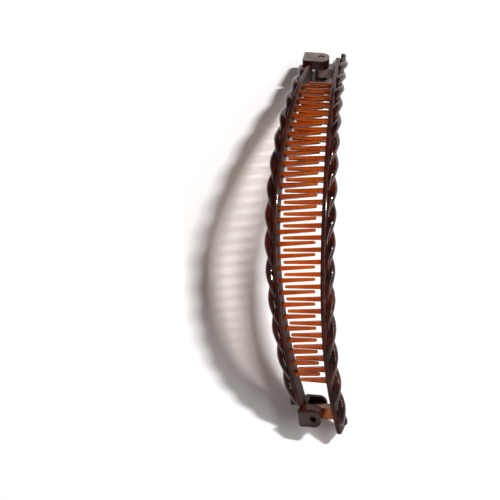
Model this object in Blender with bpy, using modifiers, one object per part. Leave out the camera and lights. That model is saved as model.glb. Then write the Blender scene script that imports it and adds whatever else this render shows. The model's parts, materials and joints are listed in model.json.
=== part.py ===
"""Banana hair clip: two arched combs with interlocking teeth and rope borders.

The halves are hinged in a forked block at one end and snap together in a second block at
the other. Everything is modelled flat first, in millimetres: x across the clip, y along
it (hinge end positive) and z above the face of the teeth. It is then bent onto the arch.
"""
import math

import bmesh
import bpy
import numpy as np
from mathutils import Matrix, Vector

MM = 0.001
LEFT, RIGHT = -1, 1

# Arch: the face of the teeth follows an arc whose two ends run out straight
ARCH_RADIUS = 102.0
BENT_REACH = 72.0
TWIST_PER_80 = 7.3
BOW = 2.4
SWAY = 1.77

# How the finished clip leans when it stands on the blocks' lower corners, in degrees
REST_LEAN = -1.0
REST_PITCH = -0.45

# Half of the opening between the two rails: distance along the arch, left side, right side
GAP_TABLE = (
    (-88.0, 5.8, 5.8),
    (-66.0, 6.4, 6.4),
    (-44.0, 7.5, 7.5),
    (-22.0, 8.4, 8.4),
    (0.0, 8.8, 8.8),
    (22.0, 8.4, 8.4),
    (44.0, 7.3, 7.4),
    (66.0, 5.8, 6.2),
    (88.0, 4.2, 5.0),
)

# Rails
RAIL_WIDTH = 2.1
RAIL_TOP = 0.6
RAIL_BOTTOM = -6.4
RAIL_ROUND = 0.7
LEFT_RAIL_ENDS = (-80.4, 80.4)
RIGHT_RAIL_ENDS = (-92.6, 88.7)
END_TAPER = 2.0
CLASP_FOOT_DEPTH = 0.0
HINGE_FOOT_DEPTH = 1.9
FOOT_START = 68.0
FOOT_FULL = 80.0

# Teeth
TOOTH_PITCH = 4.79
FIRST_LEFT_TOOTH = -65.5
LEFT_TEETH = 28
RIGHT_TEETH = 29
RIGHT_OFFSET = 2.1
TOOTH_LEAN = 1.0
TOOTH_ROOT_WIDTH = 1.95
TOOTH_TIP_WIDTH = 1.25
TOOTH_ROOT_DEPTH = 2.6
TOOTH_TIP_DEPTH = 1.2
TOOTH_TIP_GAP = 2.1
TOOTH_ROUND = 0.28
TOOTH_SINK = 0.8

# Rope borders
STRAND_RADIUS = 1.7
STRAND_OFFSET = 1.05
LEFT_ROPE_PITCH = 23.2
RIGHT_ROPE_PITCH = 22.4
ROPE_OUT = 0.7
ROPE_HEIGHT = -1.9
ROPE_POINTS_PER_STRAND = 7
ROPE_STEPS_PER_PITCH = 12
LEFT_ROPE_PHASE = 6.0
RIGHT_ROPE_PHASE = -39.0
LEFT_ROPE_ENDS = (-80.4, 80.4)
RIGHT_ROPE_ENDS = (-89.0, 93.6)
ROPE_TIP_SCALE = 0.7

# End blocks and arms, all taken from the pin hole
BLOCK_START = 80.7
BLOCK_END = 89.0
BLOCK_TOP = 1.9
HINGE_BLOCK_BOTTOM = -8.9
CLASP_BLOCK_BOTTOM = -9.3
BLOCK_ROUND = 0.6
HOLE_ALONG = 85.2
HOLE_RADIUS = 1.35
FORK_TOP = -2.2
HINGE_FORK_BOTTOM = -7.4
CLASP_FORK_BOTTOM = -7.85
FORK_DEPTH = 3.3
HINGE_HOLE_ACROSS = -0.9
HINGE_BLOCK_OUTER = -8.6
HINGE_NOSE = 3.5
CLASP_HOLE_ACROSS = -1.9
CLASP_BLOCK_OUTER = -8.0
CLASP_NOSE = 3.1
ARM_TOP = -2.55
HINGE_ARM_BOTTOM = -7.0
CLASP_ARM_BOTTOM = -6.2
ARM_NOSE = 2.6
ARM_GAP = 0.55
PIN_RADIUS = 1.0
PIN_RECESS = 0.4
BUMP_RADIUS = 1.0
BUMP_HEIGHT = 0.35
CLEARANCE = 0.3

# Colours: red, green, blue, roughness
DARK_BROWN = (0.035, 0.010, 0.006, 0.15)
RED_BROWN = (0.060, 0.016, 0.008, 0.15)
AMBER = (0.480, 0.130, 0.020, 0.20)


def gap(along, side):
    """Half of the opening beside a rail, from a smooth curve through the table."""
    column = 1 if side == LEFT else 2
    stations = [row[0] / 88.0 for row in GAP_TABLE]
    widths = [row[column] for row in GAP_TABLE]
    return float(np.polyval(np.polyfit(stations, widths, 4), along / 88.0))


def on_arch(along, across, above):
    """World point, in millimetres, of a point of the flat model."""
    bent = max(-BENT_REACH, min(BENT_REACH, along))
    turn = bent / ARCH_RADIUS
    straight = along - bent
    reach = along / 80.0
    twist = -math.radians(TWIST_PER_80) * reach
    bow = -BOW * (1.0 - reach ** 2) + SWAY * (reach - reach ** 3)
    side = across * math.cos(twist) - above * math.sin(twist) + bow
    rise = across * math.sin(twist) + above * math.cos(twist)
    forward = (ARCH_RADIUS + rise) * math.sin(turn) + straight * math.cos(turn)
    up = (ARCH_RADIUS + rise) * math.cos(turn) - ARCH_RADIUS - straight * math.sin(turn)
    lean = Matrix.Rotation(math.radians(REST_LEAN), 3, "Y")
    pitch = Matrix.Rotation(math.radians(REST_PITCH), 3, "X")
    return lean @ pitch @ Vector((side, forward, up))


def frame_at(along, across, above):
    """Matrix, in metres, that stands a rigid piece on the arch."""
    origin = on_arch(along, across, above)
    sideways = (on_arch(along, across + 1.0, above) - origin).normalized()
    upward = (on_arch(along, across, above + 1.0) - origin).normalized()
    upward = (upward - sideways * upward.dot(sideways)).normalized()
    lengthways = upward.cross(sideways)
    matrix = Matrix((sideways, lengthways, upward)).transposed().to_4x4()
    matrix.translation = origin * MM
    return matrix


def clear_scene():
    for item in list(bpy.data.objects):
        bpy.data.objects.remove(item, do_unlink=True)


def material(name, colour):
    finish = bpy.data.materials.new(name)
    finish.use_nodes = True
    shader = finish.node_tree.nodes["Principled BSDF"]
    shader.inputs["Base Color"].default_value = (*colour[:3], 1.0)
    shader.inputs["Roughness"].default_value = colour[3]
    shader.inputs["Metallic"].default_value = 0.0
    finish.diffuse_color = (*colour[:3], 1.0)
    return finish


def add_object(name, mesh, collection):
    item = bpy.data.objects.new(name, mesh)
    collection.objects.link(item)
    return item


def from_bmesh(name, bm, collection):
    mesh = bpy.data.meshes.new(name)
    bm.to_mesh(mesh)
    bm.free()
    return add_object(name, mesh, collection)


def evaluated_mesh(item):
    """Mesh of an object with its modifiers applied; the object itself is removed."""
    bpy.context.view_layer.update()
    graph = bpy.context.evaluated_depsgraph_get()
    mesh = bpy.data.meshes.new_from_object(item.evaluated_get(graph))
    mesh.name = item.name
    bpy.data.objects.remove(item, do_unlink=True)
    return mesh


def finish_mesh(mesh, finish):
    mesh.materials.clear()
    mesh.materials.append(finish)
    mesh.shade_smooth()
    mesh.set_sharp_from_angle(angle=math.radians(35.0))


def bend(mesh):
    """Carries a flat mesh, in millimetres, onto the arch, in metres."""
    for vertex in mesh.vertices:
        across, along, above = vertex.co
        vertex.co = on_arch(along, across, above) * MM


def boolean(item, cutter, operation):
    modifier = item.modifiers.new(operation.title(), "BOOLEAN")
    modifier.operation = operation
    modifier.solver = "EXACT"
    modifier.object = cutter


def hide_cutter(item):
    item.hide_render = True
    item.display_type = "WIRE"


def cross_cuts(bm, stations):
    """Cuts a flat mesh across its length so that it can bend."""
    for station in stations:
        whole = bm.verts[:] + bm.edges[:] + bm.faces[:]
        bmesh.ops.bisect_plane(bm, geom=whole, dist=1e-5, plane_co=(0.0, station, 0.0),
                               plane_no=(0.0, 1.0, 0.0))


def left_tooth_stations():
    return [FIRST_LEFT_TOOTH + TOOTH_PITCH * number for number in range(LEFT_TEETH)]


def right_tooth_stations():
    first = FIRST_LEFT_TOOTH - TOOTH_PITCH + RIGHT_OFFSET
    return [first + TOOTH_PITCH * number for number in range(RIGHT_TEETH)]


def foot(along):
    """How much deeper the right rail is toward its ends, where the arms join it."""
    depth = HINGE_FOOT_DEPTH if along > 0.0 else CLASP_FOOT_DEPTH
    share = (abs(along) - FOOT_START) / (FOOT_FULL - FOOT_START)
    share = max(0.0, min(1.0, share))
    return depth * share * share * (3.0 - 2.0 * share)


def rail(name, side, ends, teeth, collection):
    """Rounded bar beside the opening, cut between its teeth so that it bends smoothly."""
    low, high = ends
    bm = bmesh.new()
    bmesh.ops.create_cube(bm, size=1.0)
    height = RAIL_TOP - RAIL_BOTTOM
    bmesh.ops.scale(bm, verts=bm.verts, vec=(RAIL_WIDTH, high - low, height))
    middle = (side * RAIL_WIDTH / 2.0, (low + high) / 2.0, (RAIL_TOP + RAIL_BOTTOM) / 2.0)
    bmesh.ops.translate(bm, verts=bm.verts, vec=middle)
    bmesh.ops.bevel(bm, geom=bm.edges[:], offset=RAIL_ROUND, segments=2, profile=0.5,
                    affect="EDGES", material=-1)
    cuts = [station - TOOTH_PITCH / 2.0 for station in teeth]
    cuts.append(teeth[-1] + TOOTH_PITCH / 2.0)
    beyond = TOOTH_PITCH
    while cuts[0] - beyond > low + END_TAPER:
        cuts.append(cuts[0] - beyond)
        beyond += TOOTH_PITCH
    last = teeth[-1] + TOOTH_PITCH / 2.0
    beyond = TOOTH_PITCH
    while last + beyond < high - END_TAPER:
        cuts.append(last + beyond)
        beyond += TOOTH_PITCH
    cross_cuts(bm, cuts)
    for vertex in bm.verts:
        vertex.co.x += side * gap(vertex.co.y, side)
        if side == RIGHT and vertex.co.z < (RAIL_TOP + RAIL_BOTTOM) / 2.0:
            vertex.co.z -= foot(vertex.co.y)
    return from_bmesh(name, bm, collection)


def add_tooth(bm, side, station):
    """Tapered tooth from inside its rail to just short of the other rail."""
    made = bmesh.ops.create_cube(bm, size=1.0)
    corners = made["verts"]
    root = side * (gap(station, side) + TOOTH_SINK)
    tip = -side * (gap(station, -side) - TOOTH_TIP_GAP)
    lean = -side * math.tan(math.radians(TOOTH_LEAN))
    for corner in corners:
        at_tip = corner.co.x * side < 0.0
        width = TOOTH_TIP_WIDTH if at_tip else TOOTH_ROOT_WIDTH
        depth = TOOTH_TIP_DEPTH if at_tip else TOOTH_ROOT_DEPTH
        across = tip if at_tip else root
        along = station + across * lean + corner.co.y * width
        above = 0.0 if corner.co.z > 0.0 else -depth
        corner.co = (across, along, above)
    edges = list({edge for corner in corners for edge in corner.link_edges})
    bmesh.ops.bevel(bm, geom=edges, offset=TOOTH_ROUND, segments=1, profile=0.5,
                    affect="EDGES", material=-1)


def comb(name, side, ends, teeth, finish, collection, cutters):
    """Rail and teeth in one solid."""
    body = rail(name, side, ends, teeth, collection)
    bm = bmesh.new()
    for station in teeth:
        add_tooth(bm, side, station)
    bmesh.ops.recalc_face_normals(bm, faces=bm.faces)
    row = from_bmesh(name + "_teeth", bm, cutters)
    hide_cutter(row)
    boolean(body, row, "UNION")
    mesh = evaluated_mesh(body)
    bpy.data.objects.remove(row, do_unlink=True)
    bend(mesh)
    finish_mesh(mesh, finish)
    return add_object(name, mesh, collection)


def rope_outline():
    """Outline of two strands side by side, around the rope's own axis."""
    half_open = math.degrees(math.acos(STRAND_OFFSET / STRAND_RADIUS))
    reach = 180.0 - half_open
    points = []
    for centre, facing in ((STRAND_OFFSET, 0.0), (-STRAND_OFFSET, 180.0)):
        for number in range(ROPE_POINTS_PER_STRAND):
            share = number / ROPE_POINTS_PER_STRAND
            angle = math.radians(facing - reach + 2.0 * reach * share)
            x = centre + STRAND_RADIUS * math.cos(angle)
            z = STRAND_RADIUS * math.sin(angle)
            points.append((x, z))
    return points


def rope(name, side, ends, pitch, phase, tapered, finish, collection):
    """Two-strand rope with a flat back against its rail; phase is its turn at mid length."""
    low, high = ends
    length = high - low
    start_turn = math.radians(phase) - 2.0 * math.pi * low / pitch
    bm = bmesh.new()
    ring = []
    for x, z in rope_outline():
        turned_x = x * math.cos(start_turn) - z * math.sin(start_turn)
        turned_z = x * math.sin(start_turn) + z * math.cos(start_turn)
        ring.append(bm.verts.new((side * turned_x, low, turned_z)))
    for number, vertex in enumerate(ring):
        bm.edges.new((vertex, ring[(number + 1) % len(ring)]))
    item = from_bmesh(name, bm, collection)
    steps = round(length / pitch * ROPE_STEPS_PER_PITCH)
    screw = item.modifiers.new("Lay", "SCREW")
    screw.axis = "Y"
    screw.angle = side * 2.0 * math.pi * length / pitch
    screw.screw_offset = length
    screw.steps = steps
    screw.render_steps = steps
    screw.use_merge_vertices = False
    mesh = evaluated_mesh(item)
    bm = bmesh.new()
    bm.from_mesh(mesh)
    bmesh.ops.holes_fill(bm, edges=bm.edges, sides=len(ring))
    if tapered:
        for vertex in bm.verts:
            if not low + 0.01 < vertex.co.y < high - 0.01:
                vertex.co.x *= ROPE_TIP_SCALE
                vertex.co.z *= ROPE_TIP_SCALE
    back = side * (CLEARANCE - ROPE_OUT)
    whole = bm.verts[:] + bm.edges[:] + bm.faces[:]
    cut = bmesh.ops.bisect_plane(bm, geom=whole, dist=1e-5, plane_co=(back, 0.0, 0.0),
                                 plane_no=(-side, 0.0, 0.0), clear_outer=True)
    rim = [element for element in cut["geom_cut"] if isinstance(element, bmesh.types.BMEdge)]
    bmesh.ops.holes_fill(bm, edges=rim, sides=0)
    step = length / steps
    cross_cuts(bm, [low + step * number for number in range(1, steps)])
    bmesh.ops.dissolve_degenerate(bm, dist=1e-4, edges=bm.edges)
    bmesh.ops.recalc_face_normals(bm, faces=bm.faces)
    for vertex in bm.verts:
        across = side * (gap(vertex.co.y, side) + RAIL_WIDTH + ROPE_OUT) + vertex.co.x
        vertex.co = (across, vertex.co.y, vertex.co.z + ROPE_HEIGHT)
    bm.to_mesh(mesh)
    bm.free()
    bend(mesh)
    finish_mesh(mesh, finish)
    return add_object(name, mesh, collection)


def arc(centre, radius, start, stop, count):
    """Points on an arc, angles in degrees."""
    points = []
    for number in range(count + 1):
        angle = math.radians(start + (stop - start) * number / count)
        points.append((centre[0] + radius * math.cos(angle), centre[1] + radius * math.sin(angle)))
    return points


def slab(name, outline, low, high, collection):
    """Flat outline given a thickness, as a mesh in metres."""
    data = bpy.data.curves.new(name, "CURVE")
    data.dimensions = "2D"
    data.fill_mode = "BOTH"
    data.extrude = (high - low) / 2.0 * MM
    spline = data.splines.new("POLY")
    spline.points.add(len(outline) - 1)
    for point, (x, y) in zip(spline.points, outline):
        point.co = (x * MM, y * MM, 0.0, 1.0)
    spline.use_cyclic_u = True
    item = bpy.data.objects.new(name, data)
    collection.objects.link(item)
    item.location.z = (high + low) / 2.0 * MM
    bpy.context.view_layer.update()
    place = item.matrix_world.copy()
    mesh = evaluated_mesh(item)
    mesh.transform(place)
    bm = bmesh.new()
    bm.from_mesh(mesh)
    bmesh.ops.remove_doubles(bm, verts=bm.verts, dist=1e-6)
    bmesh.ops.recalc_face_normals(bm, faces=bm.faces)
    bm.to_mesh(mesh)
    bm.free()
    return add_object(name, mesh, collection)


def cylinder(name, radius, low, high, sides, collection):
    bm = bmesh.new()
    bmesh.ops.create_cone(bm, cap_ends=True, segments=sides, radius1=radius * MM,
                          radius2=radius * MM, depth=(high - low) * MM)
    bmesh.ops.translate(bm, verts=bm.verts, vec=(0.0, 0.0, (high + low) / 2.0 * MM))
    return from_bmesh(name, bm, collection)


def box(name, low, high, collection):
    bm = bmesh.new()
    bmesh.ops.create_cube(bm, size=1.0)
    size = [(b - a) * MM for a, b in zip(low, high)]
    middle = [(b + a) / 2.0 * MM for a, b in zip(low, high)]
    bmesh.ops.scale(bm, verts=bm.verts, vec=size)
    bmesh.ops.translate(bm, verts=bm.verts, vec=middle)
    return from_bmesh(name, bm, collection)


def block(name, end, hole_across, outer, nose, bottom, fork_bottom, through, finish,
          collection, cutters):
    """Forked end block: outline with a round nose about the hole, slotted for the arm."""
    left = outer - hole_across
    inner_start = BLOCK_START - HOLE_ALONG
    inner_end = BLOCK_END - HOLE_ALONG
    rounding = 1.0
    outline = arc((left + rounding, inner_start + rounding), rounding, 270.0, 180.0, 3)
    outline += arc((left + rounding, inner_end - rounding), rounding, 180.0, 90.0, 3)
    outline += arc((0.0, inner_end - nose), nose, 90.0, 0.0, 6)
    outline += arc((0.0, inner_start + nose), nose, 0.0, -90.0, 6)
    outline = [(x, end * y) for x, y in outline]
    item = slab(name, outline, bottom, BLOCK_TOP, collection)
    bevel = item.modifiers.new("Rounded", "BEVEL")
    bevel.width = BLOCK_ROUND * MM
    bevel.segments = 2
    bevel.limit_method = "ANGLE"
    bevel.angle_limit = math.radians(50.0)
    slot = box(name + "_slot", (-FORK_DEPTH, -20.0, fork_bottom), (20.0, 20.0, FORK_TOP), cutters)
    start = bottom - 1.0 if through else FORK_TOP - 1.0
    hole = cylinder(name + "_hole", HOLE_RADIUS, start, BLOCK_TOP + 1.0, 16, cutters)
    for cutter in (slot, hole):
        hide_cutter(cutter)
        boolean(item, cutter, "DIFFERENCE")
    mesh = evaluated_mesh(item)
    for cutter in (slot, hole):
        bpy.data.objects.remove(cutter, do_unlink=True)
    finish_mesh(mesh, finish)
    item = add_object(name, mesh, collection)
    item.matrix_world = frame_at(end * HOLE_ALONG, hole_across, 0.0)
    return item


def arm(name, end, hole_across, bottom, top, finish, collection, cutters, post):
    """Arm of the right half, with a round nose about the hole and its post moulded on."""
    root = gap(end * HOLE_ALONG, RIGHT) - hole_across - ARM_GAP
    outline = arc((0.0, 0.0), ARM_NOSE, 90.0, 270.0, 10)
    outline += [(root, -ARM_NOSE), (root, ARM_NOSE)]
    item = slab(name, outline, bottom, top, collection)
    low, high, radius = post
    stem = cylinder(name + "_post", radius, low, high, 12, cutters)
    hide_cutter(stem)
    boolean(item, stem, "UNION")
    mesh = evaluated_mesh(item)
    bpy.data.objects.remove(stem, do_unlink=True)
    finish_mesh(mesh, finish)
    item = add_object(name, mesh, collection)
    item.matrix_world = frame_at(end * HOLE_ALONG, hole_across, 0.0)
    return item


def stand_on_floor(pieces, carriers):
    """Moves the whole clip so that its box stands on the floor, centred on the origin."""
    bpy.context.view_layer.update()
    corners = [item.matrix_world @ vertex.co for item in pieces for vertex in item.data.vertices]
    low = Vector([min(corner[axis] for corner in corners) for axis in range(3)])
    high = Vector([max(corner[axis] for corner in corners) for axis in range(3)])
    shift = Vector(((low.x + high.x) / 2.0, (low.y + high.y) / 2.0, low.z))
    for item in carriers:
        item.location -= shift


def main():
    clear_scene()
    clip = bpy.data.collections.new("banana_clip")
    bpy.context.scene.collection.children.link(clip)
    cutters = bpy.data.collections.new("cutters")
    bpy.context.scene.collection.children.link(cutters)
    dark = material("tortoiseshell_dark", DARK_BROWN)
    red = material("tortoiseshell_red", RED_BROWN)
    amber = material("amber", AMBER)

    left_teeth = left_tooth_stations()
    right_teeth = right_tooth_stations()
    fixed = [
        comb("left_comb", LEFT, LEFT_RAIL_ENDS, left_teeth, dark, clip, cutters),
        rope("left_braid", LEFT, LEFT_ROPE_ENDS, LEFT_ROPE_PITCH, LEFT_ROPE_PHASE, False, red,
             clip),
        block("hinge_block", 1, HINGE_HOLE_ACROSS, HINGE_BLOCK_OUTER, HINGE_NOSE,
              HINGE_BLOCK_BOTTOM, HINGE_FORK_BOTTOM, True, dark, clip, cutters),
        block("clasp_block", -1, CLASP_HOLE_ACROSS, CLASP_BLOCK_OUTER, CLASP_NOSE,
              CLASP_BLOCK_BOTTOM, CLASP_FORK_BOTTOM, False, dark, clip, cutters),
    ]
    pin = (HINGE_BLOCK_BOTTOM + PIN_RECESS, BLOCK_TOP - PIN_RECESS, PIN_RADIUS)
    clasp_arm_top = ARM_TOP - BUMP_HEIGHT
    bump = (clasp_arm_top - 1.0, ARM_TOP, BUMP_RADIUS)
    moving = [
        comb("right_comb", RIGHT, RIGHT_RAIL_ENDS, right_teeth, dark, clip, cutters),
        rope("right_braid", RIGHT, RIGHT_ROPE_ENDS, RIGHT_ROPE_PITCH, RIGHT_ROPE_PHASE, True, red,
             clip),
        arm("hinge_tongue", 1, HINGE_HOLE_ACROSS, HINGE_ARM_BOTTOM, ARM_TOP, amber, clip, cutters,
            pin),
        arm("clasp_tongue", -1, CLASP_HOLE_ACROSS, CLASP_ARM_BOTTOM, clasp_arm_top, amber, clip,
            cutters, bump),
    ]

    hinge = bpy.data.objects.new("right_half", None)
    clip.objects.link(hinge)
    hinge.matrix_world = frame_at(HOLE_ALONG, HINGE_HOLE_ACROSS, 0.0)
    bpy.context.view_layer.update()
    for item in moving:
        item.parent = hinge
        item.matrix_parent_inverse = hinge.matrix_world.inverted()
    stand_on_floor(fixed + moving, fixed + [hinge])


main()
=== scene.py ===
"""Looks of a tortoiseshell banana hair clip: two arched combs, their rope borders and ends."""

import json
import logging
import math
from dataclasses import dataclass
from enum import Enum

import bmesh
import bpy
import numpy as np
from mathutils import Matrix, Vector


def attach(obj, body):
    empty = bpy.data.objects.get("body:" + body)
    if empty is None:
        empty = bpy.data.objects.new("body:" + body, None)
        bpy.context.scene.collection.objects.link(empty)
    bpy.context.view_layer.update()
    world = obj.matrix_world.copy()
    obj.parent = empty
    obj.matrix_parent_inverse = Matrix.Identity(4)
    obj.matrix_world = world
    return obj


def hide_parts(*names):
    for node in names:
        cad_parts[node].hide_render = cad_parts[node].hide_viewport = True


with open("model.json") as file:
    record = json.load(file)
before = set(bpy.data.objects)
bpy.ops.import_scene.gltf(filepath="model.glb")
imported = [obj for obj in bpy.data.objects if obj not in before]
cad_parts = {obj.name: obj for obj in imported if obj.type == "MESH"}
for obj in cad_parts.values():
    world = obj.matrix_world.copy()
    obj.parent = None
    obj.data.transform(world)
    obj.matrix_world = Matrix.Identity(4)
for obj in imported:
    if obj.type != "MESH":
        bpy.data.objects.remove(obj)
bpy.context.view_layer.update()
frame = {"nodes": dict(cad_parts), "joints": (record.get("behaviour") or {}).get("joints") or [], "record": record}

Colour = tuple[float, float, float]
Triple = tuple[float, float, float]
Span = tuple[float, float]
Geometry = list[bmesh.types.BMVert | bmesh.types.BMEdge | bmesh.types.BMFace]
Tree = bpy.types.NodeTree
Socket = bpy.types.NodeSocket

MM = 0.001
ON_PLANE = 1e-5
SQUARELY = 0.999
SHARP_ANGLE = 50.0
LOG = logging.getLogger("banana_clip")

BLOCK_FACES: dict[str, Triple] = {mount["name"]: tuple(mount["axis"])
                                  for mount in frame["record"]["mounts"]}


class Side(Enum):
    """Which half of the clip a piece belongs to."""

    LEFT = -1
    RIGHT = 1


@dataclass(frozen=True)
class Arch:
    """The curve that the whole clip follows, in millimetres and degrees.

    A point of the flat model is given as (across, along, above): across the clip, along it
    toward the hinge, and above the face of the teeth.

    Attributes:
        radius: radius of the arch at the face of the teeth.
        bent_reach: distance from the crown where the arch ends and runs on straight.
        span: distance from the crown for which twist is stated, and where the bow runs out.
        twist: how far the clip's section has turned there.
        bow: how far the crown is bowed toward the left half.
        sway: how unevenly the bow runs out toward the two ends.
        rest_lean: sideways tilt that stands the clip on its feet.
        rest_pitch: lengthwise tilt that does.
        hole_along: distance of the hinge's hole from the crown.
        hinge_hole_across: place of that hole across the clip.
    """

    radius: float = 102.0
    bent_reach: float = 72.0
    span: float = 80.0
    twist: float = 7.3
    bow: float = 2.4
    sway: float = 1.77
    rest_lean: float = -1.0
    rest_pitch: float = -0.45
    hole_along: float = 85.2
    hinge_hole_across: float = -0.9

    def stance(self) -> Matrix:
        """Turn that stands the clip on its feet."""
        lean = Matrix.Rotation(math.radians(self.rest_lean), 3, "Y")
        return lean @ Matrix.Rotation(math.radians(self.rest_pitch), 3, "X")

    def shape(self, across: float, along: float, above: float) -> Vector:
        """Place of a flat point on the arch, before the clip stands up.

        Args:
            across: distance across the clip, the right half positive.
            along: distance along the arch from its crown, the hinge end positive.
            above: height above the face of the teeth.

        Returns:
            The point in millimetres.
        """
        bent = max(-self.bent_reach, min(self.bent_reach, along))
        turn = bent / self.radius
        straight = along - bent
        reach = along / self.span
        twist = -math.radians(self.twist) * reach
        bow = -self.bow * (1.0 - reach ** 2) + self.sway * (reach - reach ** 3)
        side = across * math.cos(twist) - above * math.sin(twist) + bow
        rise = across * math.sin(twist) + above * math.cos(twist)
        out = self.radius + rise
        forward = out * math.sin(turn) + straight * math.cos(turn)
        up = out * math.cos(turn) - self.radius - straight * math.sin(turn)
        return Vector((side, forward, up))

    def shift(self) -> Vector:
        """Works out the move from the arch's own origin to the frame's.

        Returns:
            The move in metres.
        """
        pin = Vector(frame["joints"][0]["pos_m"])
        raw = self.shape(self.hinge_hole_across, self.hole_along, 0.0)
        return pin - self.stance() @ raw * MM

    def place(self, across: float, along: float, above: float) -> Vector:
        """Place of a flat point in the frame, in metres."""
        return self.stance() @ self.shape(across, along, above) * MM + SHIFT

    def bend(self, bm: bmesh.types.BMesh) -> None:
        """Carries a flat mesh in millimetres onto the arch, in metres."""
        for vertex in bm.verts:
            vertex.co = self.place(*vertex.co)


ARCH = Arch()
SHIFT = ARCH.shift()


@dataclass(frozen=True)
class Opening:
    """Half of the opening beside each rail, as a smooth curve along the clip.

    Attributes:
        stations: places along the clip, in millimetres from its crown.
        left: distance from the middle to the left rail's inner face at each station.
        right: the same for the right rail.
        degree: degree of the curve through them.
    """

    stations: tuple[float, ...] = (-88.0, -66.0, -44.0, -22.0, 0.0, 22.0, 44.0, 66.0, 88.0)
    left: tuple[float, ...] = (5.8, 6.4, 7.5, 8.4, 8.8, 8.4, 7.3, 5.8, 4.2)
    right: tuple[float, ...] = (5.8, 6.4, 7.5, 8.4, 8.8, 8.4, 7.4, 6.2, 5.0)
    degree: int = 4

    def gap(self, along: float, side: Side) -> float:
        """Distance from the middle of the clip to a rail's inner face.

        Args:
            along: place along the clip, in millimetres from its crown.
            side: which rail.

        Returns:
            The distance in millimetres.
        """
        widths = self.left if side is Side.LEFT else self.right
        reach = self.stations[-1]
        curve = np.polyfit([station / reach for station in self.stations], widths, self.degree)
        return float(np.polyval(curve, along / reach))


OPENING = Opening()


def whole(bm: bmesh.types.BMesh) -> Geometry:
    """Every corner, edge and face of a mesh, as the operators take them."""
    return bm.verts[:] + bm.edges[:] + bm.faces[:]


def cut_across(bm: bmesh.types.BMesh, geometry: Geometry, station: float) -> Geometry:
    """Cuts a flat mesh at one place along the clip, so that it can bend there.

    Args:
        bm: the mesh.
        geometry: the corners, edges and faces to cut.
        station: where the cut goes, in millimetres from the crown.

    Returns:
        The corners, edges and faces after the cut.
    """
    made = bmesh.ops.bisect_plane(bm, geom=geometry, dist=ON_PLANE,
                                  plane_co=(0.0, station, 0.0), plane_no=(0.0, 1.0, 0.0))
    return made["geom"]


def new_piece(name: str, bm: bmesh.types.BMesh, material: bpy.types.Material) -> bpy.types.Object:
    """Makes a smooth-shaded object at the origin from a finished bmesh.

    Args:
        name: the piece's name.
        bm: the mesh, in metres in the frame; it is freed.
        material: the finish.

    Returns:
        The new object.
    """
    mesh = bpy.data.meshes.new(name)
    bm.to_mesh(mesh)
    bm.free()
    mesh.materials.append(material)
    mesh.shade_smooth()
    mesh.set_sharp_from_angle(angle=math.radians(SHARP_ANGLE))
    piece = bpy.data.objects.new(name, mesh)
    bpy.context.scene.collection.objects.link(piece)
    return piece


def fit_out(piece: bpy.types.Object, body: str, slot: str, *nodes: str) -> bpy.types.Object:
    """Rides a piece on its body in place of the solids it stands for.

    Args:
        piece: the finished piece.
        body: the body it moves with.
        slot: the record's material slot; not used.
        nodes: the solids it replaces.

    Returns:
        The same piece.
    """
    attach(piece, body)
    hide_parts(*nodes)
    LOG.info("%s rides on %s: %d faces", piece.name, body, len(piece.data.polygons))
    return piece


def body_of(side: Side) -> str:
    """Name of the body that a half belongs to."""
    return "left_half" if side is Side.LEFT else "right_half"


def add_range(tree: Tree, start: float, end: float, first: float = 0.0, last: float = 1.0,
              smooth: bool = True) -> bpy.types.Node:
    """Adds a node that maps one range of values onto another, and stops at its ends.

    Args:
        tree: the nodes that it joins.
        start: the value that gives the first result.
        end: the value that gives the last one.
        first: the result at the start.
        last: the result at the end.
        smooth: whether the result eases in and out instead of running straight.

    Returns:
        The new node.
    """
    node = tree.nodes.new("ShaderNodeMapRange")
    node.interpolation_type = "SMOOTHSTEP" if smooth else "LINEAR"
    node.inputs["From Min"].default_value = start
    node.inputs["From Max"].default_value = end
    node.inputs["To Min"].default_value = first
    node.inputs["To Max"].default_value = last
    return node


def add_maths(tree: Tree, kind: str, operation: str) -> bpy.types.Node:
    """Adds a Math or Vector Math node that is set to one operation.

    Args:
        tree: the nodes that it joins.
        kind: the node's type.
        operation: what it does.

    Returns:
        The new node.
    """
    node = tree.nodes.new(kind)
    node.operation = operation
    return node


def add_tint(tree: Tree, colour: Socket, tint: Colour, mask: Socket) -> Socket:
    """Blends a flat colour over another where a mask says so.

    Args:
        tree: the material's nodes.
        colour: the socket with the colour below.
        tint: the flat colour.
        mask: the socket with its share, from 0 to 1.

    Returns:
        The socket with the blend.
    """
    blend = tree.nodes.new("ShaderNodeMix")
    blend.data_type = "RGBA"
    blend.inputs["B"].default_value = (*tint, 1.0)
    tree.links.new(mask, blend.inputs["Factor"])
    tree.links.new(colour, blend.inputs["A"])
    return blend.outputs["Result"]


class ShaderGroup:
    """Base of the shader effects that several finishes share."""

    name = ""
    inputs: tuple[tuple[str, float], ...] = ()
    outputs: tuple[str, ...] = ()

    def build(self) -> Tree:
        """Makes the group with its named sockets, or finds the one that is there.

        Returns:
            The group.
        """
        found = bpy.data.node_groups.get(self.name)
        if found:
            return found
        tree = bpy.data.node_groups.new(self.name, "ShaderNodeTree")
        for label, value in self.inputs:
            socket = tree.interface.new_socket(label, in_out="INPUT", socket_type="NodeSocketFloat")
            socket.default_value = value
        for label in self.outputs:
            tree.interface.new_socket(label, in_out="OUTPUT", socket_type="NodeSocketFloat")
        self.fill(tree)
        return tree

    def fill(self, tree: Tree) -> None:
        """Adds the group's nodes.

        Args:
            tree: the group.
        """
        raise NotImplementedError

    def place(self, tree: Tree, values: dict[str, float]) -> bpy.types.Node:
        """Adds the group to a material.

        Args:
            tree: the material's nodes.
            values: what its inputs are set to.

        Returns:
            The group's node.
        """
        node = tree.nodes.new("ShaderNodeGroup")
        node.node_tree = self.build()
        for label, value in values.items():
            node.inputs[label].default_value = value
        return node


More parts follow.
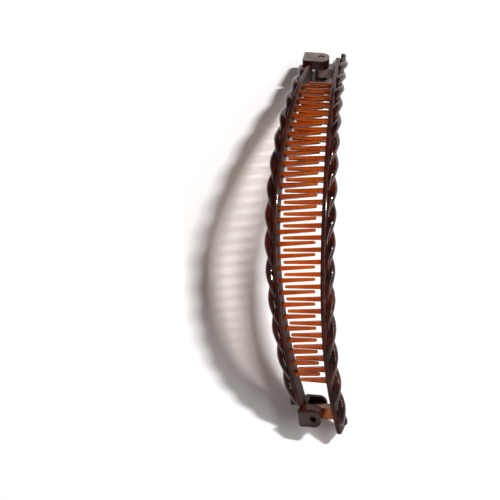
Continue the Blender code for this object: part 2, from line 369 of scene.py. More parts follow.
class Clouding(ShaderGroup):
    """Cloudy mottling of cast tortoiseshell: a soft mask from 0 to 1 over the surface."""

    name = "clouding"
    inputs = (("Scale", 120.0), ("Detail", 3.0), ("Edge", 0.5))
    outputs = ("Mask",)
    stir_scale = 60.0
    stir_reach = 0.006
    clear_below = 0.35

    def fill(self, tree: Tree) -> None:
        """Noise, stirred by a second noise, and sharpened a little.

        Args:
            tree: the group.
        """
        source = tree.nodes.new("NodeGroupInput")
        target = tree.nodes.new("NodeGroupOutput")
        coordinates = tree.nodes.new("ShaderNodeTexCoord")
        stir = tree.nodes.new("ShaderNodeTexNoise")
        stir.inputs["Scale"].default_value = self.stir_scale
        shifted = add_maths(tree, "ShaderNodeVectorMath", "MULTIPLY_ADD")
        shifted.inputs[1].default_value = (self.stir_reach, self.stir_reach, self.stir_reach)
        cloud = tree.nodes.new("ShaderNodeTexNoise")
        levels = add_range(tree, self.clear_below, 1.0)
        join = tree.links.new
        join(coordinates.outputs["Object"], stir.inputs["Vector"])
        join(stir.outputs["Color"], shifted.inputs[0])
        join(coordinates.outputs["Object"], shifted.inputs[2])
        join(shifted.outputs["Vector"], cloud.inputs["Vector"])
        join(source.outputs["Scale"], cloud.inputs["Scale"])
        join(source.outputs["Detail"], cloud.inputs["Detail"])
        join(cloud.outputs["Fac"], levels.inputs["Value"])
        join(source.outputs["Edge"], levels.inputs["From Max"])
        join(levels.outputs["Result"], target.inputs["Mask"])


class HandlingMarks(ShaderGroup):
    """Fine scratches and mould ripple: a roughness and a height over the surface."""

    name = "handling_marks"
    inputs = (("Low", 0.04), ("High", 0.12), ("Walls", 0.0))
    outputs = ("Roughness", "Height")
    scratch_scale: Triple = (1400.0, 160.0, 1400.0)
    scratch_detail = 4.0
    scratch_levels: Span = (0.35, 0.75)
    scratch_height = 0.12
    ripple_scale = 240.0
    ripple_detail = 1.0
    wall_facing: Span = (0.70, 0.95)

    def fill(self, tree: Tree) -> None:
        """Long thin scratches over a slow ripple, and duller walls across the clip.

        Args:
            tree: the group.
        """
        source = tree.nodes.new("NodeGroupInput")
        target = tree.nodes.new("NodeGroupOutput")
        coordinates = tree.nodes.new("ShaderNodeTexCoord")
        stretch = tree.nodes.new("ShaderNodeMapping")
        stretch.inputs["Scale"].default_value = self.scratch_scale
        scratches = tree.nodes.new("ShaderNodeTexNoise")
        scratches.inputs["Scale"].default_value = 1.0
        scratches.inputs["Detail"].default_value = self.scratch_detail
        ripple = tree.nodes.new("ShaderNodeTexNoise")
        ripple.inputs["Scale"].default_value = self.ripple_scale
        ripple.inputs["Detail"].default_value = self.ripple_detail
        levels = add_range(tree, *self.scratch_levels, smooth=False)
        height = add_maths(tree, "ShaderNodeMath", "MULTIPLY_ADD")
        height.inputs[1].default_value = self.scratch_height
        split = tree.nodes.new("ShaderNodeSeparateXYZ")
        sideways = add_maths(tree, "ShaderNodeMath", "ABSOLUTE")
        wall = add_range(tree, *self.wall_facing)
        duller = add_maths(tree, "ShaderNodeMath", "MAXIMUM")
        join = tree.links.new
        join(coordinates.outputs["Object"], stretch.inputs["Vector"])
        join(stretch.outputs["Vector"], scratches.inputs["Vector"])
        join(coordinates.outputs["Object"], ripple.inputs["Vector"])
        join(scratches.outputs["Fac"], levels.inputs["Value"])
        join(source.outputs["Low"], levels.inputs["To Min"])
        join(source.outputs["High"], levels.inputs["To Max"])
        join(coordinates.outputs["Normal"], split.inputs["Vector"])
        join(split.outputs["X"], sideways.inputs[0])
        join(sideways.outputs["Value"], wall.inputs["Value"])
        join(source.outputs["Walls"], wall.inputs["To Max"])
        join(levels.outputs["Result"], duller.inputs[0])
        join(wall.outputs["Result"], duller.inputs[1])
        join(duller.outputs["Value"], target.inputs["Roughness"])
        join(scratches.outputs["Fac"], height.inputs[0])
        join(ripple.outputs["Fac"], height.inputs[2])
        join(height.outputs["Value"], target.inputs["Height"])


@dataclass(frozen=True)
class Shell:
    """Polished, clear brown or amber plastic that darkens with its thickness.

    Attributes:
        name: the material's name.
        clear: colour of the light patches.
        cloudy: colour of the dark patches.
        absorbed: colour left after the light has crossed one absorption length.
        density: how strongly light is absorbed, for each metre.
        see_through: share of the light that enters instead of scattering at the surface.
        gloss: strength of the mirror-like reflection, as the shader counts it.
        refraction: index of refraction of the plastic.
        shadow_tint: what each surface lets through in a shadow; black for a full shadow.
        patch_scale: fineness of the mottling.
        patch_edge: how soft the mottling's edges are.
        smoothest: roughness between the fine scratches.
        roughest: roughness on them.
        dull_walls: roughness of the walls that face across the clip; zero to leave them.
        ripple: height of the mould ripple, in metres.
        ripple_strength: how much of the ripple shows.
        edge_shade: how much painted shade darkens the colour where the surface turns away.
        edge_colour: the colour of that painted shade.
        edge_facing: how far the surface has turned where the painted shade starts and where it is full.
        shade_and_sheen_toward: normal of the faces whose colour is painted by how they are turned, painted shade
            on some finishes and a painted sheen on others; zero for none.
        shade_and_sheen_colour: the painted colour on them.
        shade_and_sheen_from: distance along the clip from its middle where it starts, in metres.
        shade_and_sheen_facing: how squarely a face looks that way where the painted colour starts and is full.
        shade_and_sheen_soft: half the width of the change at that start, in metres.
        shade_and_sheen_least: what is left of the painted colour on the darkest patches.
    """

    name: str
    clear: Colour
    cloudy: Colour
    absorbed: Colour
    density: float
    see_through: float = 1.0
    gloss: float = 0.5
    refraction: float = 1.5
    shadow_tint: Colour = (0.0, 0.0, 0.0)
    patch_scale: float = 120.0
    patch_edge: float = 0.65
    smoothest: float = 0.05
    roughest: float = 0.16
    dull_walls: float = 0.0
    ripple: float = 0.00002
    ripple_strength: float = 0.5
    edge_shade: float = 0.0
    edge_colour: Colour = (0.03, 0.006, 0.004)
    edge_facing: Span = (0.25, 0.60)
    shade_and_sheen_toward: Triple = (0.0, 0.0, 0.0)
    shade_and_sheen_colour: Colour = (0.16, 0.105, 0.075)
    shade_and_sheen_from: float = 0.073
    shade_and_sheen_facing: Span = (0.80, 0.99)
    shade_and_sheen_soft: float = 0.0004
    shade_and_sheen_least: float = 0.35

    def build(self) -> bpy.types.Material:
        """Makes the material.

        Returns:
            The new material.
        """
        material = bpy.data.materials.new(self.name)
        material.use_nodes = True
        tree = material.node_tree
        shader = tree.nodes["Principled BSDF"]
        shader.inputs["IOR"].default_value = self.refraction
        shader.inputs["Transmission Weight"].default_value = self.see_through
        shader.inputs["Metallic"].default_value = 0.0
        shader.inputs["Specular IOR Level"].default_value = self.gloss
        clouds = Clouding().place(tree, {"Scale": self.patch_scale, "Edge": self.patch_edge})
        mottled = tree.nodes.new("ShaderNodeMix")
        mottled.data_type = "RGBA"
        mottled.inputs["A"].default_value = (*self.clear, 1.0)
        mottled.inputs["B"].default_value = (*self.cloudy, 1.0)
        marks = HandlingMarks().place(tree, {"Low": self.smoothest, "High": self.roughest,
                                             "Walls": self.dull_walls})
        bump = tree.nodes.new("ShaderNodeBump")
        bump.inputs["Distance"].default_value = self.ripple
        bump.inputs["Strength"].default_value = self.ripple_strength
        volume = tree.nodes.new("ShaderNodeVolumeAbsorption")
        volume.inputs["Color"].default_value = (*self.absorbed, 1.0)
        volume.inputs["Density"].default_value = self.density
        join = tree.links.new
        join(clouds.outputs["Mask"], mottled.inputs["Factor"])
        colour = self.shade_edges(tree, mottled.outputs["Result"])
        colour = self.paint_shade_and_sheen(tree, colour, clouds.outputs["Mask"])
        join(colour, shader.inputs["Base Color"])
        join(marks.outputs["Roughness"], shader.inputs["Roughness"])
        join(marks.outputs["Height"], bump.inputs["Height"])
        join(bump.outputs["Normal"], shader.inputs["Normal"])
        join(volume.outputs["Volume"], tree.nodes["Material Output"].inputs["Volume"])
        if max(self.shadow_tint) > 0.0:
            self.let_light_through(tree, volume)
        return material

    def shade_edges(self, tree: Tree, colour: Socket) -> Socket:
        """Paints shade into the colour on the walls and rounded edges that turn away.

        Args:
            tree: the material's nodes.
            colour: the socket with the mottled colour.

        Returns:
            The socket that gives the shaded colour.
        """
        if self.edge_shade == 0.0:
            return colour
        weight = tree.nodes.new("ShaderNodeLayerWeight")
        weight.inputs["Blend"].default_value = 0.5
        mask = add_range(tree, *self.edge_facing, last=self.edge_shade)
        tree.links.new(weight.outputs["Facing"], mask.inputs["Value"])
        return add_tint(tree, colour, self.edge_colour, mask.outputs["Result"])

    def paint_shade_and_sheen(self, tree: Tree, colour: Socket, clouds: Socket) -> Socket:
        """Paints shade and sheen by how faces are turned: the faces that look one way get another colour, mottled
        as the rest is.

        Args:
            tree: the material's nodes.
            colour: the socket with the colour of the rest.
            clouds: the mottling's mask, which shows through on those faces too.

        Returns:
            The socket that gives the whole colour.
        """
        if max(self.shade_and_sheen_toward) == 0.0:
            return colour
        coordinates = tree.nodes.new("ShaderNodeTexCoord")
        toward = add_maths(tree, "ShaderNodeVectorMath", "DOT_PRODUCT")
        toward.inputs[1].default_value = self.shade_and_sheen_toward
        mask = add_range(tree, *self.shade_and_sheen_facing)
        split = tree.nodes.new("ShaderNodeSeparateXYZ")
        along = add_maths(tree, "ShaderNodeMath", "ABSOLUTE")
        start = add_range(tree, self.shade_and_sheen_from - self.shade_and_sheen_soft, self.shade_and_sheen_from + self.shade_and_sheen_soft,
                          smooth=False)
        uneven = add_range(tree, 0.0, 1.0, first=1.0, last=self.shade_and_sheen_least, smooth=False)
        join = tree.links.new
        join(coordinates.outputs["Normal"], toward.inputs[0])
        join(toward.outputs["Value"], mask.inputs["Value"])
        join(coordinates.outputs["Object"], split.inputs["Vector"])
        join(split.outputs["Y"], along.inputs[0])
        join(along.outputs["Value"], start.inputs["Value"])
        join(clouds, uneven.inputs["Value"])
        join(uneven.outputs["Result"], start.inputs["To Max"])
        join(start.outputs["Result"], mask.inputs["To Max"])
        return add_tint(tree, colour, self.shade_and_sheen_colour, mask.outputs["Result"])

    def let_light_through(self, tree: Tree, volume: bpy.types.Node) -> None:
        """Gives the piece a pale shadow, as thin clear plastic has.

        Args:
            tree: the material's nodes.
            volume: the absorption inside the piece, which a shadow leaves out.
        """
        output = tree.nodes["Material Output"]
        path = tree.nodes.new("ShaderNodeLightPath")
        pane = tree.nodes.new("ShaderNodeBsdfTransparent")
        pane.inputs["Color"].default_value = (*self.shadow_tint, 1.0)
        choose = tree.nodes.new("ShaderNodeMixShader")
        join = tree.links.new
        join(path.outputs["Is Shadow Ray"], choose.inputs["Fac"])
        join(tree.nodes["Principled BSDF"].outputs["BSDF"], choose.inputs[1])
        join(pane.outputs["BSDF"], choose.inputs[2])
        join(choose.outputs["Shader"], output.inputs["Surface"])
        inside = tree.nodes.new("ShaderNodeMixShader")
        join(path.outputs["Is Shadow Ray"], inside.inputs["Fac"])
        join(volume.outputs["Volume"], inside.inputs[1])
        join(inside.outputs["Shader"], output.inputs["Volume"])


# The rails' walls that face across the clip get a near-black colour: painted shade.
RAIL_FINISH = Shell(
    "tortoiseshell_dark", clear=(0.092, 0.024, 0.015), cloudy=(0.036, 0.010, 0.007),
    absorbed=(0.70, 0.40, 0.25), density=900.0, see_through=0.45, gloss=0.18,
    dull_walls=0.7, ripple=0.00008,
    shade_and_sheen_toward=(1.0, 0.0, 0.0), shade_and_sheen_colour=(0.012, 0.006, 0.005), shade_and_sheen_from=0.0)
ROPE_FINISH = Shell(
    "tortoiseshell_red", clear=(0.15, 0.025, 0.009), cloudy=(0.030, 0.008, 0.005),
    absorbed=(0.77, 0.46, 0.32), density=1300.0, see_through=0.85, gloss=0.42,
    smoothest=0.03, roughest=0.10, ripple=0.00014)
# The teeth's walls and rounded edges that turn away are darkened with painted shade.
TOOTH_FINISH = Shell(
    "amber", clear=(0.66, 0.215, 0.006), cloudy=(0.50, 0.140, 0.004),
    absorbed=(0.84, 0.48, 0.0), density=1500.0, see_through=0.9, gloss=0.2,
    shadow_tint=(0.74, 0.71, 0.70), edge_shade=0.9, edge_colour=(0.13, 0.028, 0.002))

SOLID_FINISHES: dict[str, Shell] = {
    # The hinge block's face with the hole is painted pale: a painted sheen on the dark tortoiseshell.
    "hinge_block": Shell(
        "hinge_block_painted_sheen", clear=(0.050, 0.013, 0.008), cloudy=(0.026, 0.008, 0.006),
        absorbed=(0.75, 0.42, 0.30), density=700.0, see_through=0.45, gloss=0.4,
        smoothest=0.14, roughest=0.26,
        shade_and_sheen_toward=BLOCK_FACES["hinge_block_face"], shade_and_sheen_colour=(0.25, 0.175, 0.130)),
    # The clasp block's face with the hole is painted pale grey: a painted sheen on the dark red plastic.
    "clasp_block": Shell(
        "clasp_block_painted_sheen", clear=(0.050, 0.008, 0.003), cloudy=(0.018, 0.004, 0.002),
        absorbed=(0.78, 0.30, 0.20), density=2200.0, see_through=0.35, gloss=0.05,
        smoothest=0.14, roughest=0.26,
        shade_and_sheen_toward=BLOCK_FACES["clasp_block_face"], shade_and_sheen_colour=(0.105, 0.082, 0.074),
        shade_and_sheen_from=0.0743),
    # The hinge tongue's pale grey body colour is a painted sheen; its faces toward the block's face keep a dark
    # amber.
    "hinge_tongue": Shell(
        "amber_painted_sheen", clear=(0.45, 0.36, 0.30), cloudy=(0.25, 0.18, 0.14),
        absorbed=(0.84, 0.48, 0.1), density=900.0, see_through=0.3,
        shade_and_sheen_toward=BLOCK_FACES["hinge_block_face"], shade_and_sheen_colour=(0.055, 0.017, 0.005),
        shade_and_sheen_from=0.0),
    "clasp_tongue": Shell(
        "amber_thick", clear=(0.70, 0.30, 0.08), cloudy=(0.45, 0.17, 0.05),
        absorbed=(0.84, 0.48, 0.1), density=600.0, see_through=0.6),
}


@dataclass
class Comb:
    """One half's rail and the teeth that cross to the other half.

    Sizes are in millimetres; the rail stands just outside the opening.

    Attributes:
        side: which half it belongs to.
        rail_ends: where the rail starts and ends along the clip.
        first_tooth: where the first tooth from the clasp end crosses the middle.
        teeth: how many teeth it has.
        tooth_lean: how far the teeth lean along the clip, in degrees.
        rail_width: the rail's width across the clip.
        rail_top: its top above the face of the teeth.
        rail_bottom: its underside.
        rail_round: radius of its edges.
        foot_depth: how much deeper it is at its hinge end.
        foot_start: where it starts to deepen.
        foot_full: where it is deepest.
        pitch: distance between the teeth.
        root_width: a tooth's width at its root.
        tip_width: its width at its tip.
        root_depth: its depth at its root.
        tip_depth: its depth at its tip.
        tip_gap: gap between its tip and the other rail.
        tip_round: radius of its tip, as a share of the tip's width.
        tooth_round: radius of its long edges.
        sink: how far its root goes into the rail.
        cuts_per_mm: how finely the rail is cut so that it bends.
    """

    side: Side
    rail_ends: Span
    first_tooth: float
    teeth: int
    tooth_lean: float = 1.0
    rail_width: float = 2.1
    rail_top: float = 0.6
    rail_bottom: float = -6.4
    rail_round: float = 0.75
    foot_depth: float = 0.0
    foot_start: float = 68.0
    foot_full: float = 80.0
    pitch: float = 4.79
    root_width: float = 1.95
    tip_width: float = 1.25
    root_depth: float = 2.6
    tip_depth: float = 1.2
    tip_gap: float = 2.1
    tip_round: float = 0.45
    tooth_round: float = 0.34
    sink: float = 0.8
    cuts_per_mm: float = 0.8

    @property
    def sign(self) -> int:
        """Minus one on the left half, and one on the right."""
        return self.side.value

    def foot(self, along: float) -> float:
        """How much deeper the rail is toward its hinge end, where it stands.

        Args:
            along: place along the clip, in millimetres from its crown.

        Returns:
            The extra depth in millimetres.
        """
        share = (along - self.foot_start) / (self.foot_full - self.foot_start)
        share = max(0.0, min(1.0, share))
        return self.foot_depth * share * share * (3.0 - 2.0 * share)

    def rail(self) -> bmesh.types.BMesh:
        """Rounded bar beside the opening.

        Returns:
            The mesh, bent onto the arch.
        """
        low, high = self.rail_ends
        height = self.rail_top - self.rail_bottom
        halfway = (self.rail_top + self.rail_bottom) / 2.0
        bm = bmesh.new()
        bmesh.ops.create_cube(bm, size=1.0)
        bmesh.ops.scale(bm, verts=bm.verts, vec=(self.rail_width, high - low, height))
        middle = (self.sign * self.rail_width / 2.0, (low + high) / 2.0, halfway)
        bmesh.ops.translate(bm, verts=bm.verts, vec=middle)
        bmesh.ops.bevel(bm, geom=bm.edges[:], offset=self.rail_round, segments=4, profile=0.5,
                        affect="EDGES", material=-1)
        count = round((high - low) * self.cuts_per_mm)
        step = (high - low - 2.0 * self.rail_round) / count
        for number in range(1, count):
            cut_across(bm, whole(bm), low + self.rail_round + step * number)
        for vertex in bm.verts:
            vertex.co.x += self.sign * OPENING.gap(vertex.co.y, self.side)
            if vertex.co.z < halfway:
                vertex.co.z -= self.foot(vertex.co.y)
        ARCH.bend(bm)
        return bm

    def add_tooth(self, bm: bmesh.types.BMesh, station: float) -> None:
        """Adds one tapered tooth with a rounded tip, made from a cube 1 mm across.

        Args:
            bm: the mesh that collects the teeth.
            station: where the tooth crosses the middle of the clip.
        """
        root = self.sign * (OPENING.gap(station, self.side) + self.sink)
        other = Side(-self.sign)
        tip = -self.sign * (OPENING.gap(station, other) - self.tip_gap)
        lean = -self.sign * math.tan(math.radians(self.tooth_lean))
        made = bmesh.ops.create_cube(bm, size=1.0)["verts"]
        upright = [edge for edge in {e for v in made for e in v.link_edges}
                   if abs(edge.verts[0].co.z - edge.verts[1].co.z) > 0.5
                   and edge.verts[0].co.x * self.sign < 0.0]
        for vertex in made:
            at_tip = vertex.co.x * self.sign < 0.0
            width = self.tip_width if at_tip else self.root_width
            depth = self.tip_depth if at_tip else self.root_depth
            across = tip if at_tip else root
            along = station + across * lean + vertex.co.y * width
            vertex.co = (across, along, 0.0 if vertex.co.z > 0.0 else -depth)
        rounded = bmesh.ops.bevel(bm, geom=upright, offset=self.tip_width * self.tip_round,
                                  segments=4, profile=0.5, affect="EDGES", material=-1)
        grown = {vertex for vertex in made if vertex.is_valid} | set(rounded["verts"])
        rim = [edge for edge in {e for v in grown for e in v.link_edges}
               if edge.calc_face_angle(0.0) > math.radians(SHARP_ANGLE)]
        bmesh.ops.bevel(bm, geom=rim, offset=self.tooth_round, segments=3, profile=0.5,
                        affect="EDGES", material=-1)

    def toothing(self) -> bmesh.types.BMesh:
        """The whole row of teeth.

        Returns:
            The mesh, bent onto the arch.
        """
        bm = bmesh.new()
        for number in range(self.teeth):
            self.add_tooth(bm, self.first_tooth + self.pitch * number)
        bmesh.ops.recalc_face_normals(bm, faces=bm.faces)
        ARCH.bend(bm)
        return bm

    def build(self, rail_finish: bpy.types.Material, tooth_finish: bpy.types.Material) -> None:
        """Builds the half's rail and teeth, and puts them on its body.

        Args:
            rail_finish: the rail's material.
            tooth_finish: the teeth's material.
        """
        word = self.side.name.lower()
        node = word + "_comb"
        rail = new_piece(word + "_rail", self.rail(), rail_finish)
        fit_out(rail, body_of(self.side), "tortoiseshell_dark", node)
        teeth = new_piece(word + "_teeth", self.toothing(), tooth_finish)
        fit_out(teeth, body_of(self.side), "amber", node)


@dataclass
class RopeBorder:
    """Two-strand rope moulded along the outside of a rail.

    Sizes are in millimetres.

    Attributes:
        side: which half it belongs to.
        ends: where the rope starts and ends along the clip.
        pitch: length in which a strand goes once round.
        phase: turn of the strands at the crown, in degrees.
        tip_scale: how thin the rope's ends are, as a share of the rest.
        taper: length of the thinner ends.
        beside: distance from the opening to the rail's outer face.
        out: distance from that face to the rope's axis.
        height: height of the axis above the face of the teeth.
        strand_radius: radius of a strand.
        strand_offset: distance from the rope's axis to a strand's.
        back_gap: gap between the rope's flat back and the rail.
        points_per_strand: points on a strand's outline.
        steps_per_pitch: steps of the sweep in one pitch.
    """

    side: Side
    ends: Span
    pitch: float
    phase: float
    tip_scale: float = 1.0
    taper: float = 2.5
    beside: float = 2.1
    out: float = 0.7
    height: float = -1.9
    strand_radius: float = 1.7
    strand_offset: float = 1.05
    back_gap: float = 0.05
    points_per_strand: int = 16
    steps_per_pitch: int = 48

    @property
    def sign(self) -> int:
        """Minus one on the left half, and one on the right."""
        return self.side.value

    @property
    def length(self) -> float:
        """The rope's length."""
        return self.ends[1] - self.ends[0]

    @property
    def steps(self) -> int:
        """How many steps the sweep takes."""
        return round(self.length / self.pitch * self.steps_per_pitch)

    def outline(self) -> list[tuple[float, float]]:
        """Outline of the two strands side by side, around the rope's axis.

        Returns:
            Its points, as places across and above.
        """
        reach = math.pi - math.acos(self.strand_offset / self.strand_radius)
        points = []
        for centre, facing in ((self.strand_offset, 0.0), (-self.strand_offset, math.pi)):
            for number in range(self.points_per_strand):
                share = number / self.points_per_strand
                angle = facing - reach + 2.0 * reach * share
                x = centre + self.strand_radius * math.cos(angle)
                points.append((x, self.strand_radius * math.sin(angle)))
        return points

    def sweep(self) -> bmesh.types.BMesh:
        """Sweeps the outline in a helix from end to end.

        Returns:
            The closed mesh, around the rope's own axis.
        """
        low = self.ends[0]
        bm = bmesh.new()
        turn = math.radians(self.phase) - 2.0 * math.pi * low / self.pitch
        spin = Matrix.Rotation(-turn, 3, "Y")
        ring = [bm.verts.new(spin @ Vector((x, low, z))) for x, z in self.outline()]
        for vertex in ring:
            vertex.co.x *= self.sign
        rim = [bm.edges.new((vertex, ring[(number + 1) % len(ring)]))
               for number, vertex in enumerate(ring)]
        angle = self.sign * 2.0 * math.pi * self.length / self.pitch
        bmesh.ops.spin(bm, geom=rim + ring, cent=(0.0, 0.0, 0.0), axis=(0.0, 1.0, 0.0),
                       dvec=(0.0, self.length / self.steps, 0.0), angle=angle, steps=self.steps,
                       use_merge=False, use_normal_flip=False, use_duplicate=False)
        bmesh.ops.holes_fill(bm, edges=bm.edges, sides=len(ring))
        return bm

    def thin_ends(self, bm: bmesh.types.BMesh) -> None:
        """Narrows the swept rope toward its two ends.

        Args:
            bm: the swept rope.
        """
        low, high = self.ends
        for vertex in bm.verts:
            beyond = max(low + self.taper - vertex.co.y, vertex.co.y - high + self.taper)
            if self.tip_scale < 1.0 and beyond > 0.0:
                share = beyond / self.taper
                shrink = 1.0 - (1.0 - self.tip_scale) * share * share
                vertex.co.x *= shrink
                vertex.co.z *= shrink

    def flatten_back(self, bm: bmesh.types.BMesh) -> None:
        """Cuts the rope's back flat beside the rail, and divides it so that it bends.

        Args:
            bm: the swept rope.
        """
        back = self.sign * (self.back_gap - self.out)
        cut = bmesh.ops.bisect_plane(bm, geom=whole(bm), dist=ON_PLANE, plane_co=(back, 0.0, 0.0),
                                     plane_no=(-self.sign, 0.0, 0.0), clear_outer=True)
        edges = [item for item in cut["geom_cut"] if isinstance(item, bmesh.types.BMEdge)]
        bmesh.ops.holes_fill(bm, edges=edges, sides=0)
        flat = [face for face in bm.faces if abs(face.normal.x) > SQUARELY]
        step = self.length / self.steps
        for number in range(1, self.steps):
            geometry = set(flat)
            geometry |= {edge for face in flat for edge in face.edges}
            geometry |= {vertex for face in flat for vertex in face.verts}
            made = cut_across(bm, list(geometry), self.ends[0] + step * number)
            flat = [item for item in made if isinstance(item, bmesh.types.BMFace)]

    def mesh(self) -> bmesh.types.BMesh:
        """The whole rope.

        Returns:
            The mesh, beside its rail and bent onto the arch.
        """
        bm = self.sweep()
        self.thin_ends(bm)
        self.flatten_back(bm)
        bmesh.ops.recalc_face_normals(bm, faces=bm.faces)
        for vertex in bm.verts:
            axis = OPENING.gap(vertex.co.y, self.side) + self.beside + self.out
            vertex.co.x += self.sign * axis
            vertex.co.z += self.height
        ARCH.bend(bm)
        return bm

    def build(self, finish: bpy.types.Material) -> None:
        """Builds the rope and puts it on its body.

        Args:
            finish: the rope's material.
        """
        name = self.side.name.lower() + "_braid"
        piece = new_piece(name + "_rope", self.mesh(), finish)
        fit_out(piece, body_of(self.side), "tortoiseshell_red", name)


@dataclass(frozen=True)
class Panel:
    """A rectangular soft light.

    Attributes:
        name: the light's name.
        place: where its middle is, in metres.
        facing: direction that it shines in.
        size: its sides along X and across it, in metres.
        radiance: how bright its face looks, where the lit floor is about 1.
    """

    name: str
    place: Triple
    facing: Triple
    size: Span
    radiance: float

    def build(self) -> None:
        """Adds the light to the scene."""
        data = bpy.data.lights.new(self.name, "AREA")
        data.shape = "RECTANGLE"
        data.size, data.size_y = self.size
        data.energy = self.radiance * math.pi * self.size[0] * self.size[1]
        lamp = bpy.data.objects.new(self.name, data)
        back = -Vector(self.facing).normalized()
        side = (Vector((1.0, 0.0, 0.0)) - back * back.x).normalized()
        turn = Matrix((side, back.cross(side), back)).transposed()
        lamp.matrix_world = Matrix.Translation(Vector(self.place)) @ turn.to_4x4()
        bpy.context.scene.collection.objects.link(lamp)


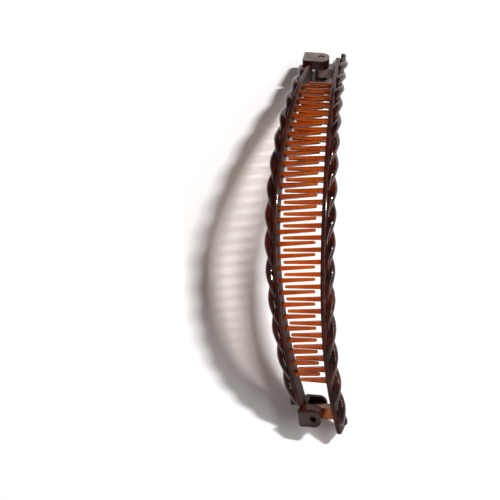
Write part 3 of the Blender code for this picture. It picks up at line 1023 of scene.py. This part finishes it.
@dataclass(frozen=True)
class Studio:
    """Pale floor, soft light and the photograph's camera.

    Attributes:
        distance: from the camera to the clip's crown, in millimetres.
        azimuth: the camera's bearing, in degrees.
        elevation: its angle above the floor.
        roll: its turn about its own line of sight.
        plan_turn: small turn of the camera about the clip's crown, as seen from above.
        centre_px: where the crown is in the photograph.
        frame_px: the photograph's width and height, in pixels.
        focal_px: the camera's focal length, in the same pixels.
        sensor: the width of its sensor, in millimetres.
        near: how close to the camera things still show, in metres.
        floor_half: half of the floor's width, in metres.
        floor_colour: colour of the floor.
        floor_roughness: roughness of the floor.
        room_colour: tint of the light from the room.
        horizon: brightness of the room at the floor's level.
        zenith: its brightness overhead.
        beyond_hinge: what is left of that brightness beyond the hinge end.
        dim_reach: how far the view has turned toward that end where this is reached.
        key_toward: direction of the light that throws the shadow.
        key_distance: its distance, in metres.
        key_size: its sides, in metres.
        key_radiance: its brightness.
        window: the long, narrow light beside the right half, which its rope mirrors.
    """

    distance: float = 500.0
    azimuth: float = 35.6
    elevation: float = 70.68
    roll: float = -34.71
    plan_turn: float = -1.268
    centre_px: Span = (299.76, 210.67)
    frame_px: float = 500.0
    focal_px: float = 1282.0
    sensor: float = 36.0
    near: float = 0.01
    floor_half: float = 3.0
    floor_colour: Colour = (0.93, 0.93, 0.93)
    floor_roughness: float = 0.9
    room_colour: Colour = (1.0, 0.88, 0.86)
    horizon: float = 0.56
    zenith: float = 0.14
    beyond_hinge: float = 0.2
    dim_reach: float = 0.7
    key_toward: Triple = (0.648, 0.307, 0.697)
    key_distance: float = 3.0
    key_size: Span = (0.48, 0.12)
    key_radiance: float = 780.0
    window: Panel = Panel("window", place=(0.72, -0.12, 0.70), facing=(-0.72, 0.12, -0.67),
                          size=(0.07, 0.90), radiance=18.0)

    def camera(self) -> None:
        """Sets the camera that took the photograph."""
        azimuth = math.radians(self.azimuth)
        elevation = math.radians(self.elevation)
        back = Vector((math.sin(azimuth) * math.cos(elevation),
                       -math.cos(azimuth) * math.cos(elevation), math.sin(elevation)))
        right = Vector((math.cos(azimuth), math.sin(azimuth), 0.0))
        up = back.cross(right)
        roll = math.radians(self.roll)
        turned_right = right * math.cos(roll) + up * math.sin(roll)
        turned_up = up * math.cos(roll) - right * math.sin(roll)
        plan = Matrix.Rotation(math.radians(self.plan_turn), 3, "Z")
        turn = ARCH.stance() @ plan @ Matrix((turned_right, turned_up, back)).transposed()
        eye = Vector((-ARCH.bow, 0.0, 0.0)) + plan @ back * self.distance
        data = bpy.data.cameras.new("camera")
        data.sensor_width = self.sensor
        data.lens = self.sensor * self.focal_px / self.frame_px
        data.shift_x = 0.5 - self.centre_px[0] / self.frame_px
        data.shift_y = self.centre_px[1] / self.frame_px - 0.5
        data.clip_start = self.near
        camera = bpy.data.objects.new("camera", data)
        camera.matrix_world = turn.to_4x4()
        camera.location = ARCH.stance() @ eye * MM + SHIFT
        bpy.context.scene.collection.objects.link(camera)
        bpy.context.scene.camera = camera

    def floor(self) -> None:
        """Lays a plain pale floor."""
        bm = bmesh.new()
        bmesh.ops.create_grid(bm, x_segments=1, y_segments=1, size=self.floor_half)
        mesh = bpy.data.meshes.new("floor")
        bm.to_mesh(mesh)
        bm.free()
        floor = bpy.data.objects.new("floor", mesh)
        bpy.context.scene.collection.objects.link(floor)
        material = bpy.data.materials.new("floor_paper")
        material.use_nodes = True
        shader = material.node_tree.nodes["Principled BSDF"]
        shader.inputs["Base Color"].default_value = (*self.floor_colour, 1.0)
        shader.inputs["Roughness"].default_value = self.floor_roughness
        mesh.materials.append(material)

    def surroundings(self) -> None:
        """Pale room: bright near the horizon, darker overhead and beyond the hinge end."""
        world = bpy.data.worlds.new("studio")
        world.use_nodes = True
        tree = world.node_tree
        coordinates = tree.nodes.new("ShaderNodeTexCoord")
        split = tree.nodes.new("ShaderNodeSeparateXYZ")
        ramp = add_range(tree, 0.0, 1.0, first=self.horizon, last=self.zenith)
        beyond = add_range(tree, 0.0, self.dim_reach, first=1.0, last=self.beyond_hinge)
        dim = add_maths(tree, "ShaderNodeMath", "MULTIPLY")
        sky = tree.nodes["Background"]
        sky.inputs["Color"].default_value = (*self.room_colour, 1.0)
        join = tree.links.new
        join(coordinates.outputs["Generated"], split.inputs["Vector"])
        join(split.outputs["Z"], ramp.inputs["Value"])
        join(split.outputs["Y"], beyond.inputs["Value"])
        join(ramp.outputs["Result"], dim.inputs[0])
        join(beyond.outputs["Result"], dim.inputs[1])
        join(dim.outputs["Value"], sky.inputs["Strength"])
        bpy.context.scene.world = world

    def lights(self) -> None:
        """Adds the light that throws the shadow, and the window."""
        key = Vector(self.key_toward).normalized()
        Panel("key", place=tuple(key * self.key_distance), facing=(0.0, -key.y, -key.z),
              size=self.key_size, radiance=self.key_radiance).build()
        self.window.build()

    def build(self) -> None:
        """Sets the whole studio."""
        self.camera()
        self.floor()
        self.surroundings()
        self.lights()
        bpy.context.scene.view_settings.view_transform = "Standard"


def dress_solids() -> None:
    """Gives the solids that stay as they are their own finishes."""
    for node, finish in SOLID_FINISHES.items():
        solid = frame["nodes"][node]
        solid.data.materials.clear()
        solid.data.materials.append(finish.build())
        LOG.info("%s keeps its solid, in %s", node, finish.name)


def main() -> None:
    """Builds the studio and the two halves, and dresses the solids that stay."""
    logging.basicConfig(level=logging.INFO, format="%(message)s")
    rail_finish = RAIL_FINISH.build()
    rope_finish = ROPE_FINISH.build()
    tooth_finish = TOOTH_FINISH.build()
    Studio().build()
    left = Comb(Side.LEFT, rail_ends=(-80.4, 80.4), first_tooth=-65.5, teeth=28)
    left.build(rail_finish, tooth_finish)
    shift_from_left = 2.1
    right = Comb(Side.RIGHT, rail_ends=(-92.6, 88.7), teeth=29, foot_depth=1.9,
                 first_tooth=left.first_tooth - left.pitch + shift_from_left)
    right.build(rail_finish, tooth_finish)
    RopeBorder(Side.LEFT, ends=left.rail_ends, pitch=23.2, phase=6.0).build(rope_finish)
    RopeBorder(Side.RIGHT, ends=(-89.0, 93.6), pitch=22.4, phase=-39.0,
               tip_scale=0.7).build(rope_finish)
    dress_solids()


if __name__ == "__main__":
    main()
